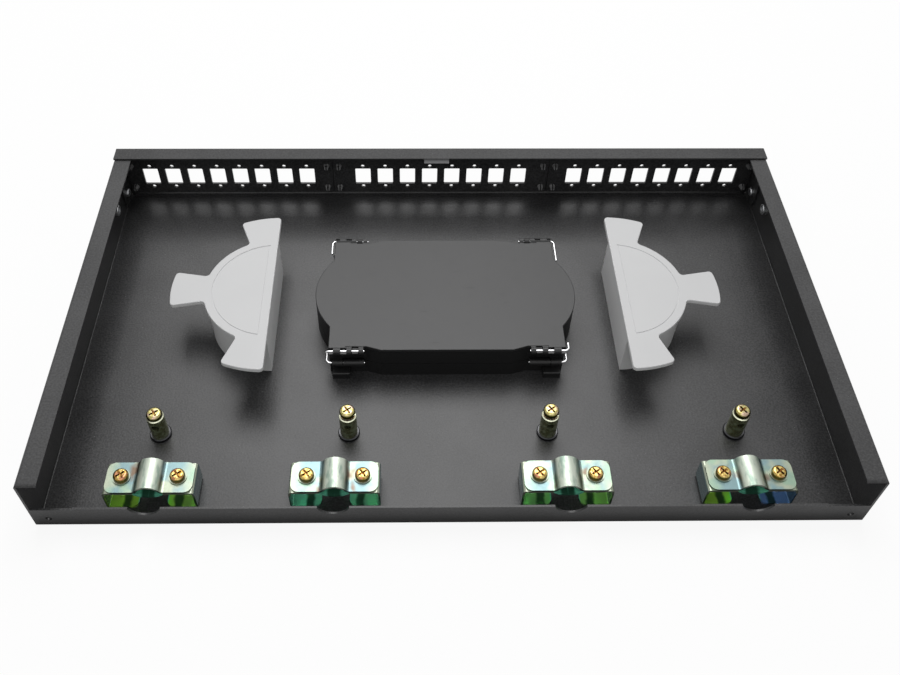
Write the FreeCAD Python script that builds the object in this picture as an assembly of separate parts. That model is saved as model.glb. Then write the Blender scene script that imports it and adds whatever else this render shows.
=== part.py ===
import FreeCAD, Part
import math
import os
from FreeCAD import Vector

# Rack-mount fibre patch panel with its cover off. Units are millimetres.
# X runs across the panel, +Y runs from the cable entry side to the port side, +Z is up.
# The origin is the centre of the outer box, on the underside of the floor.

# Sheet metal housing
sheet_t = 1.2
body_w = 440.0
body_d = 260.0
body_h = 42.0
side_flange_w = 11.4
bend_outer_r = 1.8
bend_inner_r = 0.7
part_gap = 0.3
rivet_head_h = 1.2
half_w = body_w / 2
wall_in_x = half_w - sheet_t
entry_y = -body_d / 2
port_y = body_d / 2 - rivet_head_h
side_top_z = body_h - sheet_t

# Lip at the cable entry side
lip_h = 17.5
lip_end_drop = 0.8
lip_end_w = 22.0
cable_side_inset = 60.0
cable_pitch = 98.0
cable_outer_x = half_w - cable_side_inset
cable_inner_x = cable_outer_x - cable_pitch
cable_x = (-cable_outer_x, -cable_inner_x, cable_inner_x, cable_outer_x)
notch_w = 16.8
notch_depth = 6.3
cover_hole_inset = 8.6
cover_hole_z = 7.9
cover_hole_r = 1.7
cover_hole_x = half_w - cover_hole_inset

# Front frame
frame_flange_d = 11.2
frame_foot_d = 3.4
frame_foot_inset = 3.0
frame_bend_r = 1.1
frame_foot_bend_r = 1.8
tab_d = 19.0
tab_floor_gap = 3.8
tab_top_gap = 4.8
tab_corner_r = 3.0
window_end_w = 11.9
window_post_w = 23.6
window_h = 25.0
window_corner_r = 2.0
tongue_x = -3.4
tongue_w = 16.7
tongue_out = 1.9
tongue_drop = 2.6
window_w = (body_w - 2 * window_end_w - 2 * window_post_w) / 3
frame_wall_x = wall_in_x - part_gap
tab_in_x = frame_wall_x - sheet_t
flange_y = port_y - frame_flange_d
wall_in_y = port_y - sheet_t
tab_z0 = sheet_t + tab_floor_gap
tab_z1 = side_top_z - tab_top_gap

# Screws that hold the frame's tabs to the side walls
frame_screw_inset = 11.8
frame_screw_low = 7.5
frame_screw_high = 6.0
frame_screw_r = 1.95
frame_screw_head_r = 3.1
frame_screw_head_h = 1.9
frame_screw_round_r = 0.9
screw_hole_gap = 0.1
frame_screw_y = port_y - frame_screw_inset
frame_screw_z = (tab_z0 + frame_screw_low, tab_z1 - frame_screw_high)

# Adapter plates and their ports
plate_t = 1.5
plate_bend_gap = 0.2
plate_top_gap = 2.8
plate_seam_inset = 13.1
plate_seam_gap = 0.2
plate_end_gap = 0.7
port_count = 8
port_w = 10.5
port_h = 13.7
port_end_w = 2.35
port_rise = 17.8
port_corner_r = 0.6
port_screw_pitch = 18.0
port_screw_r = 1.3
plate_pitch = window_w + window_post_w
plate_seam_x = window_w / 2 + plate_seam_inset
plate_end_x = tab_in_x - plate_end_gap
plate_in_y = wall_in_y - plate_t
plate_z0 = 2 * sheet_t + frame_foot_bend_r + plate_bend_gap
plate_z1 = side_top_z - plate_top_gap
port_pitch = (window_w - port_w - 2 * port_end_w) / (port_count - 1)
port_z = sheet_t + port_rise

# Push rivets of the adapter plates
rivet_rise = 9.4
rivet_end_inset = 3.6
rivet_seam_offset = 4.25
rivet_hole_r = 1.6
rivet_gap = 0.05
rivet_head_r = 3.2
rivet_head_round_r = 0.6
rivet_bulge = 0.5
rivet_tip_r = 1.3
rivet_tail_l = 3.4
rivet_tail_gap = 0.1
rivet_slot_w = 1.0

# Threaded inserts for the rack ears
ear_inset = 37.3
ear_top_drop = 7.8
ear_pitch = 13.5
ear_thread_r = 2.0
ear_insert_r = 3.6
ear_insert_l = 3.0
ear_insert_c = 0.4
ear_y = port_y - ear_inset
ear_high_z = side_top_z - ear_top_drop
ear_z = (ear_high_z - ear_pitch, ear_high_z)

# Winding spools
spool_tray_gap = 25.4
spool_y = 10.9
spool_h = 29.8
hub_r = 40.0
hub_wall = 2.0
spool_plate_t = 2.4
plate_arc_over = 1.4
spool_rim_r = 0.5
fin_r = 61.4
fin_root_x = 18.0
fin_root_y = 38.0
fin_flare_x = 7.2
fin_flare_y = 18.7
side_fin_root_w = 20.6
side_fin_tip_w = 27.6
fin_corner_r = 2.4
fin_neck_r = 2.6
groove_inset = 4.6
groove_w = 0.9
groove_depth = 0.4
boss_x = 15.0
boss_dy = 22.0
boss_r = 4.0
rib_h = 12.0
rib_t = 1.6
spool_screw_r = 1.45
spool_screw_gap = 0.05
spool_screw_head_r = 2.9
spool_screw_l = 9.0
spool_bore_spare = 2.0
spool_top_z = sheet_t + spool_h
plate_arc_r = hub_r + plate_arc_over

# Splice tray stack
tray_y = 12.5
tray_h = 10.7
tray_floor_t = 1.4
tray_wall_t = 1.4
tray_end_x = 69.3
tray_bulge = 10.0
tray_bulge_end = 7.5
tray_knuckle_dy = 42.0
tray_mid_deeper = 2.75
tray_step_inset = 1.7
tray_slope_w = 8.5
lid_t = 2.0
lid_rim_r = 0.4
lid_lap = 1.2
lid_lap_inset = 3.0
axis_rise = 1.0
axis_out = 2.5
knuckle_r = 2.1
web_root = 1.0
lug_web_rise = 1.7
wire_r = 0.6
wire_gap = 0.05
lug_end_inset = 2.8
lug_w = 4.2
low_lug_inset = 1.5
low_lug_w = 6.3
spare_lug_w = 10.0
spare_lug_out = 3.0
spare_lug_h = 4.6
spare_lug_round_r = 1.0
knuckle_gap = 3.6
knuckle_w = 3.0
end_knuckle_gap = 4.0
end_knuckle_w = 2.8
wire_past = 0.5
wire_end_gap = 1.1
wire_bend_r = 2.2
near_leg_l = 7.0
near_upper_leg_l = 5.4
far_leg_l = 11.0
far_long_leg_l = 17.0
short_leg_l = 3.6
clip_rise = 0.35
tray_pitch = tray_h + part_gap
axis_dy = tray_knuckle_dy + axis_out
lug_out_x = tray_end_x - lug_end_inset
lug_in_x = lug_out_x - lug_w
knuckle_out_x = lug_in_x - knuckle_gap
knuckle_in_x = knuckle_out_x - knuckle_w
end_knuckle_out_x = knuckle_in_x - end_knuckle_gap
end_knuckle_in_x = end_knuckle_out_x - end_knuckle_w
low_lug_out_x = tray_end_x - low_lug_inset
low_lug_in_x = low_lug_out_x - low_lug_w
clip_x = (end_knuckle_out_x + part_gap, knuckle_in_x - part_gap)
lid_lug_out_x = tray_end_x - part_gap
lid_knuckle_x = ((end_knuckle_in_x, end_knuckle_out_x), (knuckle_in_x, lid_lug_out_x))
lid_window_x = ((knuckle_out_x, lug_in_x), (lug_out_x, tray_end_x))
long_knuckle_out_x = low_lug_in_x - part_gap
tray_step_x = end_knuckle_in_x - tray_step_inset
tray_mid_x = tray_step_x - tray_slope_w
lid_lap_x = lug_in_x - lid_lap_inset
wire_in_x = end_knuckle_in_x - wire_past
wire_out_x = tray_end_x + wire_end_gap + wire_r
spool_x = tray_end_x + tray_bulge + spool_tray_gap

# Inside the splice trays
fibre_entry_w = 9.0
fibre_entry_h = 5.5
fibre_entry_inset = 7.5
guide_r = 15.0
guide_x = 40.0
guide_t = 1.4
guide_h = 7.4
keeper_w = 9.0
keeper_d = 5.0
keeper_t = 1.2
keeper_x = 24.0
keeper_drop = 0.4
holder_w = 44.0
holder_d = 30.0
holder_base_t = 1.2
holder_rib_t = 1.4
holder_rib_h = 4.6
holder_gap_w = 6.0
holder_ribs = 7
tray_screw_x = 24.0
tray_screw_r = 1.45
tray_screw_head_r = 2.9
tray_screw_head_h = 2.2
fibre_entry_dy = tray_knuckle_dy - fibre_entry_inset
tray_bulge_dy = fibre_entry_dy - tray_bulge_end

# Pillars that hold the strength members of the cables
post_outer_shift = 3.6
post_inner_shift = 5.4
post_clamp_dy = 37.7
post_r = 4.9
post_h = 18.4
collar_over = 1.2
collar_h = 2.0
collar_c = 0.5
spigot_r = 2.5
spigot_gap = 0.05
post_rim_c = 0.5
cross_hole_rise = 12.8
cross_hole_r = 2.0
post_screw_r = 2.0
thread_gap = 0.05
screw_tip_gap = 0.2
post_head_r = 4.4
post_head_h = 3.1
post_screw_raise = (0.0, 2.0, 2.0, 0.6)
post_outer_x = cable_outer_x + post_outer_shift
post_inner_x = cable_inner_x - post_inner_shift
post_x = (-post_outer_x, -post_inner_x, post_inner_x, post_outer_x)
post_top_z = sheet_t + post_h
cross_hole_z = sheet_t + cross_hole_rise
post_screw_tip_z = cross_hole_z + cross_hole_r + screw_tip_gap

# Cable clamps
clamp_inset = 18.8
clamp_d = 18.2
metal_t = 1.2
bracket_w = 48.6
bracket_h = 15.0
bracket_bend_r = 2.0
foot_gap_w = 15.0
foot_corner_r = 4.0
trough_w = 15.4
trough_depth = 3.1
strap_inset = 1.1
strap_corner_r = 4.5
hump_in_r = 6.2
hump_axis_drop = 1.4
flare_r = 2.2
clamp_screw_pitch = 29.8
clamp_screw_r = 2.0
clamp_screw_grip = 6.5
clamp_clear_gap = 0.3
washer_r = 4.8
washer_t = 0.8
clamp_head_r = 4.1
clamp_head_h = 2.9
foot_rivet_inset = 6.8
foot_rivet_r = 1.2
foot_rivet_head_r = 2.4
foot_rivet_head_h = 0.8
foot_rivet_round_r = 0.5
clamp_y = entry_y + clamp_inset
post_y = clamp_y + post_clamp_dy
bracket_top_z = sheet_t + bracket_h
strap_w = bracket_w - 2 * strap_inset
clamp_screw_dx = clamp_screw_pitch / 2
foot_rivet_dx = bracket_w / 2 - foot_rivet_inset
clamp_clear_r = clamp_screw_r + clamp_clear_gap

# Cross recess of the pan heads
head_round = 0.6
recess_w = 1.1
recess_reach = 2.7
recess_depth = 1.4
recess_turn = 35.0

# Cutting tools reach this far past the faces they cut, and fused pieces sink this far in
past = 1.0
sink = 0.2


def block(x0, x1, y0, y1, z0, z1):
    low_x, high_x = sorted((x0, x1))
    low_y, high_y = sorted((y0, y1))
    return Part.makeBox(high_x - low_x, high_y - low_y, z1 - z0, Vector(low_x, low_y, z0))


def rod_x(x, y, z, r, length):
    return Part.makeCylinder(r, length, Vector(x, y, z), Vector(1, 0, 0))


def rod_y(x, y, z, r, length):
    return Part.makeCylinder(r, length, Vector(x, y, z), Vector(0, 1, 0))


def rod_z(x, y, z, r, length):
    return Part.makeCylinder(r, length, Vector(x, y, z), Vector(0, 0, 1))


def arc_radius(chord, rise):
    # Radius of an arc as wide as the chord and as deep as the rise
    return ((chord / 2) ** 2 + rise ** 2) / (2 * rise)


def prism(points, z0, z1):
    corners = [Vector(x, y, z0) for x, y in points]
    face = Part.Face(Part.makePolygon(corners + [corners[0]]))
    return face.extrude(Vector(0, 0, z1 - z0))


def fused(shapes):
    shapes = list(shapes)
    return shapes[0].multiFuse(shapes[1:]).removeSplitter()


def mirrored(shape):
    return shape.mirror(Vector(0, 0, 0), Vector(1, 0, 0))


def same(a, b):
    return abs(a - b) < 0.01


def edges_at(shape, test):
    # Straight edges whose two ends both pass the test
    return [e for e in shape.Edges if len(e.Vertexes) == 2 and all(test(v.Point) for v in e.Vertexes)]


def edges_along(shape, axis):
    # Straight edges that run along one axis
    picked = []
    for e in shape.Edges:
        size = (e.BoundBox.XLength, e.BoundBox.YLength, e.BoundBox.ZLength)
        if size[axis] > 0.01 and all(size[i] < 0.01 for i in range(3) if i != axis):
            picked.append(e)
    return picked


def rim_at(shape, z):
    # Edges that lie flat at one height
    return [e for e in shape.Edges if same(e.BoundBox.ZMin, z) and same(e.BoundBox.ZMax, z)]


def outer_rim_at(shape, z, r):
    return [e for e in rim_at(shape, z) if same(e.BoundBox.XLength, 2 * r)]


def save(name, shapes):
    shapes = list(shapes)
    shape = shapes[0] if len(shapes) == 1 else Part.makeCompound(shapes)
    shape.exportStep("parts/" + name + ".step")


def plate_span(index):
    # Left and right edges of one adapter plate
    seam = plate_seam_x - plate_seam_gap
    over = plate_seam_x + plate_seam_gap
    return ((-plate_end_x, -over), (-seam, seam), (over, plate_end_x))[index]


def rivet_places(index):
    inner = plate_seam_x - rivet_seam_offset
    outer = plate_seam_x + rivet_seam_offset
    end = plate_end_x - rivet_end_inset
    pair = ((-end, -outer), (-inner, inner), (outer, end))[index]
    return [(x, port_z + side * rivet_rise) for x in pair for side in (-1, 1)]


def port_places(index):
    start = (index - 1) * plate_pitch - port_pitch * (port_count - 1) / 2
    return [start + i * port_pitch for i in range(port_count)]


def spool_screw_places(side):
    x = side * (spool_x + boss_x)
    return [(x, spool_y - boss_dy), (x, spool_y + boss_dy)]


def foot_rivet_places():
    return [(x + side * foot_rivet_dx, clamp_y) for x in cable_x for side in (-1, 1)]


def floor_holes():
    deep = sheet_t + 2 * past
    holes = [rod_z(x, post_y, -past, spigot_r + spigot_gap, deep) for x in post_x]
    holes += [rod_z(x, y, -past, foot_rivet_r + screw_hole_gap, deep) for x, y in foot_rivet_places()]
    for side in (-1, 1):
        holes.append(rod_z(side * tray_screw_x, tray_y, -past, tray_screw_r + screw_hole_gap, deep))
        for x, y in spool_screw_places(side):
            sink_r = spool_screw_head_r + screw_hole_gap
            holes.append(Part.makeCone(sink_r, spool_screw_r + screw_hole_gap, sheet_t, Vector(x, y, 0)))
    return holes


def wall_holes(x, length):
    # Holes through one side wall, from x outward along +X
    holes = [rod_x(x, ear_y, z, ear_thread_r, length) for z in ear_z]
    holes += [rod_x(x, frame_screw_y, z, frame_screw_r + screw_hole_gap, length) for z in frame_screw_z]
    return holes


def tray_housing():
    # One folded sheet: floor, two sides with inward flanges, and the low lip at the entry side
    shell = block(-half_w, half_w, entry_y, port_y, 0, side_top_z)
    bends = edges_at(shell, lambda p: same(abs(p.x), half_w) and same(p.z, 0))
    bends += edges_at(shell, lambda p: same(abs(p.x), half_w) and same(p.z, side_top_z))
    bends += edges_at(shell, lambda p: same(p.y, entry_y) and same(p.z, 0))
    shell = shell.makeFillet(bend_outer_r, bends)
    room_top = side_top_z - sheet_t
    lip_in_y = entry_y + sheet_t
    room = block(-wall_in_x, wall_in_x, lip_in_y, port_y + past, sheet_t, room_top)
    bends = [e for e in edges_along(room, 1) if same(abs(e.Vertexes[0].X), wall_in_x)]
    bends += edges_at(room, lambda p: same(p.y, lip_in_y) and same(p.z, sheet_t))
    room = room.makeFillet(bend_inner_r, bends)
    mouth_x = half_w - side_flange_w
    mouth = block(-mouth_x, mouth_x, entry_y - past, port_y + past, room_top - sheet_t, side_top_z + past)
    over_lip = block(-wall_in_x, wall_in_x, entry_y - past, lip_in_y + past, lip_h, room_top)
    cuts = [room, mouth, over_lip]
    through = sheet_t + 2 * past
    for side in (-1, 1):
        cuts.append(block(side * (wall_in_x - lip_end_w), side * wall_in_x, entry_y - past, lip_in_y + past,
                          lip_h - lip_end_drop, lip_h + past))
        cuts.append(rod_y(side * cover_hole_x, entry_y - past, cover_hole_z, cover_hole_r, through))
    # The side flanges stop short of the front frame, which lies over the ends of the walls
    end_y = flange_y - part_gap
    far_y = port_y + past
    over_z = side_top_z + past
    cuts.append(block(-half_w - past, half_w + past, end_y, far_y, side_top_z - part_gap, over_z))
    cuts.append(block(-wall_in_x, wall_in_x, end_y, far_y, room_top - sheet_t, over_z))
    notch_r = arc_radius(notch_w, notch_depth)
    notch_z = lip_h - notch_depth + notch_r
    cuts += [rod_y(x, entry_y - past, notch_z, notch_r, through) for x in cable_x]
    drills = wall_holes(wall_in_x - past, through)
    cuts += drills + [mirrored(d) for d in drills]
    return shell.cut(cuts + floor_holes())


def tongue():
    # Small strip bent down out of the near edge of the frame's top flange
    length = math.hypot(tongue_out, tongue_drop)
    tip_y = flange_y - tongue_out
    tip_z = body_h - tongue_drop
    under_y = tip_y + sheet_t * tongue_drop / length
    under_z = tip_z - sheet_t * tongue_out / length
    root_z = body_h - sheet_t
    root_y = under_y + (root_z - under_z) * tongue_out / tongue_drop
    x0 = tongue_x - tongue_w / 2
    corners = [Vector(x0, y, z) for y, z in
               ((flange_y, body_h), (tip_y, tip_z), (under_y, under_z), (root_y, root_z))]
    face = Part.Face(Part.makePolygon(corners + [corners[0]]))
    return face.extrude(Vector(tongue_w, 0, 0))


def front_frame():
    # Upright wall with three windows, a top flange, a short foot on the floor and two side tabs
    under = body_h - sheet_t
    near_y = wall_in_y - past
    far_y = port_y + past
    wall = block(-frame_wall_x, frame_wall_x, wall_in_y, port_y, sheet_t, body_h)
    for side in (-1, 1):
        # Clear of the bend between the floor and the side wall
        bend_x = side * (frame_wall_x - bend_inner_r)
        wall = wall.cut(block(bend_x, side * half_w, near_y, far_y, 0, sheet_t + bend_inner_r))
    flange = block(-half_w, half_w, flange_y, port_y, under, body_h)
    foot_x = frame_wall_x - frame_foot_inset
    foot = block(-foot_x, foot_x, wall_in_y - frame_foot_d, port_y, sheet_t, 2 * sheet_t)
    pieces = [wall, flange, foot, tongue()]
    for side in (-1, 1):
        tab = block(side * tab_in_x, side * frame_wall_x, port_y - tab_d, port_y, tab_z0, tab_z1)
        corners = [e for e in edges_along(tab, 0) if same(e.Vertexes[0].Y, port_y - tab_d)]
        pieces.append(tab.makeFillet(tab_corner_r, corners))
    frame = fused(pieces)
    top_bend = edges_at(frame, lambda p: same(p.y, port_y) and same(p.z, body_h))
    frame = frame.makeFillet(frame_bend_r, top_bend)
    foot_bend = edges_at(frame, lambda p: same(p.y, wall_in_y) and same(p.z, 2 * sheet_t))
    frame = frame.makeFillet(frame_foot_bend_r, foot_bend)
    through = sheet_t + 2 * past
    cuts = []
    for index in range(3):
        centre = (index - 1) * plate_pitch
        window = block(centre - window_w / 2, centre + window_w / 2, near_y, far_y,
                       port_z - window_h / 2, port_z + window_h / 2)
        cuts.append(window.makeFillet(window_corner_r, edges_along(window, 1)))
        cuts += [rod_y(x, near_y, z, rivet_hole_r, through) for x, z in rivet_places(index)]
    drills = [rod_x(tab_in_x - past, frame_screw_y, z, frame_screw_r + screw_hole_gap, through)
              for z in frame_screw_z]
    return frame.cut(cuts + drills + [mirrored(d) for d in drills])


def adapter_plate(index):
    x0, x1 = plate_span(index)
    plate = block(x0, x1, plate_in_y, wall_in_y, plate_z0, plate_z1)
    deep = plate_t + 2 * past
    cuts = []
    for x in port_places(index):
        port = block(x - port_w / 2, x + port_w / 2, plate_in_y - past, wall_in_y + past,
                     port_z - port_h / 2, port_z + port_h / 2)
        cuts.append(port.makeFillet(port_corner_r, edges_along(port, 1)))
        cuts += [rod_y(x, plate_in_y - past, port_z + side * port_screw_pitch / 2, port_screw_r, deep)
                 for side in (-1, 1)]
    cuts += [rod_y(x, plate_in_y - past, z, rivet_hole_r, deep) for x, z in rivet_places(index)]
    return plate.cut(cuts)


def push_rivet(x, z):
    # Round head outside, shank through wall and plate, split tail with a bulge inside
    shank_r = rivet_hole_r - rivet_gap
    tail_y = plate_in_y - rivet_tail_l
    head = rod_y(x, port_y, z, rivet_head_r, rivet_head_h)
    face_y = port_y + rivet_head_h
    head = head.makeFillet(rivet_head_round_r, [e for e in head.Edges if same(e.BoundBox.YMin, face_y)])
    shank = rod_y(x, plate_in_y - sink, z, shank_r, port_y - plate_in_y + 2 * sink)
    tail = Part.makeCone(rivet_tip_r, shank_r + rivet_bulge, rivet_tail_l - rivet_tail_gap,
                         Vector(x, tail_y, z), Vector(0, 1, 0))
    slot = block(x - rivet_slot_w / 2, x + rivet_slot_w / 2, tail_y - past, wall_in_y,
                 z - 2 * rivet_head_r, z + 2 * rivet_head_r)
    return fused([head, shank, tail]).cut(slot)


def pan_head(x, y, z, r, h):
    # Round head with a rounded rim and a tapered cross recess
    top = z + h
    head = rod_z(x, y, z, r, h)
    head = head.makeFillet(h * head_round, outer_rim_at(head, top, r))
    floor = top - recess_depth
    taper = Part.makeCone(recess_w, recess_reach, recess_depth, Vector(0, 0, floor))
    taper = taper.fuse(rod_z(0, 0, top, recess_reach, past))
    cuts = []
    for turn in (0, 90):
        blade = block(-recess_reach, recess_reach, -recess_w / 2, recess_w / 2, floor, top + past)
        blade = blade.common(taper)
        blade.rotate(Vector(0, 0, 0), Vector(0, 0, 1), recess_turn + turn)
        blade.translate(Vector(x, y, 0))
        cuts.append(blade)
    return head.cut(cuts)


def frame_screw(z):
    # Screw from inside through the frame's tab and the right side wall, flush outside
    under = tab_in_x - frame_screw_head_h
    head = rod_x(under, frame_screw_y, z, frame_screw_head_r, frame_screw_head_h)
    head = head.makeFillet(frame_screw_round_r, [e for e in head.Edges if same(e.BoundBox.XMax, under)])
    shank = rod_x(tab_in_x - sink, frame_screw_y, z, frame_screw_r, half_w - tab_in_x + sink)
    return fused([head, shank])


def ear_insert(z):
    # Threaded insert behind the right side wall
    x = wall_in_x - ear_insert_l
    ring = rod_x(x, ear_y, z, ear_insert_r, ear_insert_l)
    ring = ring.makeChamfer(ear_insert_c, [e for e in ring.Edges if same(e.BoundBox.XMax, x)])
    return ring.cut(rod_x(x - past, ear_y, z, ear_thread_r, ear_insert_l + 2 * past))


def half_disc(r, z0, z1, inset):
    side_of_flat = block(inset, r + past, -r - past, r + past, z0 - past, z1 + past)
    return rod_z(0, 0, z0, r, z1 - z0).common(side_of_flat)


def edges_at_radius(shape, r):
    # Upright edges at one distance from the Z axis
    return [e for e in edges_along(shape, 2) if same(math.hypot(e.Vertexes[0].X, e.Vertexes[0].Y), r)]


def spool_plate():
    # Half disc with a far fin, a side fin and a near fin, each wider at its outer end
    z0 = spool_top_z - spool_plate_t
    inner_end = (fin_root_x - fin_flare_x, fin_root_y - fin_flare_y)
    outer_end = (fin_root_x + 2 * fin_flare_x, fin_root_y + 2 * fin_flare_y)
    end_fin = [(0, 0), inner_end, outer_end, (0, 2 * fin_r)]
    fins = [prism([(x, side * y) for x, y in end_fin], z0, spool_top_z) for side in (-1, 1)]
    flare = (side_fin_tip_w - side_fin_root_w) / 2 / (fin_r - plate_arc_r)
    inner_y = side_fin_root_w / 2 - flare * plate_arc_r
    outer_y = side_fin_root_w / 2 + flare * (2 * fin_r - plate_arc_r)
    side_fin = [(0, -inner_y), (2 * fin_r, -outer_y), (2 * fin_r, outer_y), (0, inner_y)]
    fins.append(prism(side_fin, z0, spool_top_z))
    round_end = rod_z(0, 0, z0, fin_r, spool_plate_t)
    plate = fused([half_disc(plate_arc_r, z0, spool_top_z, 0)] + [f.common(round_end) for f in fins])
    plate = plate.makeFillet(fin_corner_r, edges_at_radius(plate, fin_r))
    plate = plate.makeFillet(fin_neck_r, edges_at_radius(plate, plate_arc_r))
    plate = plate.makeFillet(spool_rim_r, rim_at(plate, spool_top_z))
    line_r = plate_arc_r - groove_inset
    groove = half_disc(line_r, spool_top_z - groove_depth, spool_top_z + past, groove_inset)
    island = half_disc(line_r - groove_w, spool_top_z - groove_depth - past, spool_top_z + 2 * past,
                       groove_inset + groove_w)
    return plate.cut(groove.cut(island))


def spool():
    # Hollow half-round hub, open below, under the finned plate, with two screw bosses inside
    under = spool_top_z - spool_plate_t
    hub = half_disc(hub_r, sheet_t, under + sink, 0)
    hub = hub.cut(half_disc(hub_r - hub_wall, sheet_t - past, under, hub_wall))
    pieces = [spool_plate(), hub]
    for side in (-1, 1):
        y = side * boss_dy
        pieces.append(rod_z(boss_x, y, sheet_t, boss_r, under - sheet_t + sink))
        pieces.append(block(hub_wall / 2, boss_x, y - rib_t / 2, y + rib_t / 2, under - rib_h, under + sink))
    bores = [rod_z(boss_x, side * boss_dy, sheet_t - past, spool_screw_r + spool_screw_gap,
                   spool_screw_l + spool_bore_spare + past) for side in (-1, 1)]
    body = fused(pieces).cut(bores)
    body.translate(Vector(spool_x, spool_y, 0))
    return body


def spool_screw(x, y):
    head = Part.makeCone(spool_screw_head_r, spool_screw_r, sheet_t, Vector(x, y, 0))
    return fused([head, rod_z(x, y, sheet_t - sink, spool_screw_r, spool_screw_l)])


def tray_outline(inset, lap):
    # Closed outline about the tray's centre: set-back corners, deeper middle, bulging ends
    end_x = tray_end_x - inset
    corner_y = tray_knuckle_dy - inset
    quarter = [(tray_mid_x, corner_y + tray_mid_deeper), (tray_step_x, corner_y)]
    if lap > 0:
        quarter += [(lid_lap_x, corner_y), (lid_lap_x, corner_y + lap)]
    quarter.append((end_x, corner_y + lap))
    quarter.append((end_x, tray_bulge_dy))
    edges = []
    for side in (1, -1):
        long_side = [Vector(side * x, side * y, 0) for x, y in reversed(quarter)]
        long_side += [Vector(-side * x, side * y, 0) for x, y in quarter]
        edges += [Part.makeLine(a, b) for a, b in zip(long_side, long_side[1:])]
        bulge_from = Vector(side * end_x, -tray_bulge_dy, 0)
        bulge_top = Vector(side * (end_x + tray_bulge), 0, 0)
        bulge_to = Vector(side * end_x, tray_bulge_dy, 0)
        edges.append(Part.Arc(bulge_from, bulge_top, bulge_to).toShape())
    return Part.Face(Part.Wire(Part.__sortEdges__(edges)))


def slab(face, z0, z1):
    body = face.extrude(Vector(0, 0, z1 - z0))
    body.translate(Vector(0, 0, z0))
    return body


def knuckle(x0, x1, side, z, web_z0, web_z1, hook):
    # A ring round the hinge wire with a web back to the tray; a hook is open below
    y = side * axis_dy
    low, high = sorted((x0, x1))
    bore_r = wire_r + wire_gap
    ring = rod_x(low, y, z, knuckle_r, high - low)
    web = block(low, high, side * (tray_knuckle_dy - web_root), y, web_z0, web_z1)
    body = ring.fuse(web).removeSplitter()
    body = body.cut(rod_x(low - past, y, z, bore_r, high - low + 2 * past))
    if hook:
        body = body.cut(block(low - past, high + past, y - bore_r, y + bore_r, z - knuckle_r - past, z))
    return body


def knuckle_row(spans, z, web_z0, web_z1, near_hook):
    return [knuckle(side_x * x0, side_x * x1, side_y, z, web_z0, web_z1, near_hook and side_y < 0)
            for x0, x1 in spans for side_x in (-1, 1) for side_y in (-1, 1)]


def fibre_guide(side, z0):
    # Half ring that the fibre turns round, with a keeper over it
    ring = rod_z(side * guide_x, 0, z0 - sink, guide_r, guide_h + sink)
    ring = ring.cut(rod_z(side * guide_x, 0, z0 - past, guide_r - guide_t, guide_h + 2 * past))
    outer_half = block(side * guide_x, side * (guide_x + 2 * guide_r), -2 * guide_r, 2 * guide_r,
                       z0 - sink, z0 + guide_h)
    keeper_x0 = guide_x + guide_r - guide_t / 2
    keeper = block(side * keeper_x0, side * (keeper_x0 + keeper_d), -keeper_w / 2, keeper_w / 2,
                   z0 + guide_h - keeper_t, z0 + guide_h)
    return [ring.common(outer_half), keeper]


def wire_clip(side_x, side_y, z, web_z0, web_z1):
    # Between two knuckles of the lid: a closed ring at the far side, a clip open above at the near side
    low, high = sorted(side_x * x for x in clip_x)
    body = knuckle(low, high, side_y, z, web_z0, web_z1, False)
    if side_y < 0:
        y = side_y * axis_dy
        body = body.cut(block(low - past, high + past, y - 2 * knuckle_r, y + 2 * knuckle_r,
                              z + clip_rise, z + 2 * knuckle_r))
    return body


def spare_lug(side_x, side_y, z0):
    # Plain block with a rounded outer edge, where a tray below would be hinged
    out_y = side_y * (axis_dy + spare_lug_out)
    top = z0 + spare_lug_h
    lug = block(side_x * (low_lug_out_x - spare_lug_w), side_x * low_lug_out_x,
                side_y * (tray_knuckle_dy - web_root), out_y, z0, top)
    outer_top = edges_at(lug, lambda p: same(p.y, out_y) and same(p.z, top))
    return lug.makeFillet(spare_lug_round_r, outer_top)


def splice_tray(level):
    # Shallow moulded tray: floor, wall, fibre entries, round guides, keepers and hinge knuckles
    z0 = sheet_t + level * tray_pitch
    z1 = z0 + tray_h
    floor_z = z0 + tray_floor_t
    body = slab(tray_outline(0, 0), z0, z1).cut(slab(tray_outline(tray_wall_t, 0), floor_z, z1 + past))
    body = body.cut([block(sx * (tray_end_x - 2 * tray_wall_t), sx * (tray_end_x + past),
                           sy * fibre_entry_dy - fibre_entry_w / 2, sy * fibre_entry_dy + fibre_entry_w / 2,
                           z1 - fibre_entry_h, z1 + past) for sx in (-1, 1) for sy in (-1, 1)])
    adds = fibre_guide(-1, floor_z) + fibre_guide(1, floor_z)
    wall_y = tray_knuckle_dy + tray_mid_deeper - tray_wall_t / 2
    keeper_top = z1 - keeper_drop
    for sx in (-1, 1):
        for sy in (-1, 1):
            adds.append(block(sx * keeper_x - keeper_w / 2, sx * keeper_x + keeper_w / 2,
                              sy * wall_y, sy * (wall_y - keeper_d), keeper_top - keeper_t, keeper_top))
    top_z = z1 + axis_rise
    top_web = (top_z - knuckle_r, z1)
    if level == 0:
        # One long knuckle and one spare lug, which stands on the floor, at each corner
        adds += knuckle_row(((end_knuckle_in_x, long_knuckle_out_x),), top_z, *top_web, False)
        adds += [spare_lug(sx, sy, z0) for sx in (-1, 1) for sy in (-1, 1)]
    else:
        adds += [wire_clip(sx, sy, top_z, *top_web) for sx in (-1, 1) for sy in (-1, 1)]
        low_z = z0 - part_gap + axis_rise
        adds += knuckle_row(((low_lug_in_x, low_lug_out_x),), low_z, z0, low_z + lug_web_rise, True)
    body = fused([body] + adds)
    if level == 0:
        body = body.cut([rod_z(side * tray_screw_x, 0, z0 - past, tray_screw_r + screw_hole_gap,
                               tray_floor_t + 2 * past) for side in (-1, 1)])
    body.translate(Vector(0, tray_y, 0))
    return body


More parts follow.
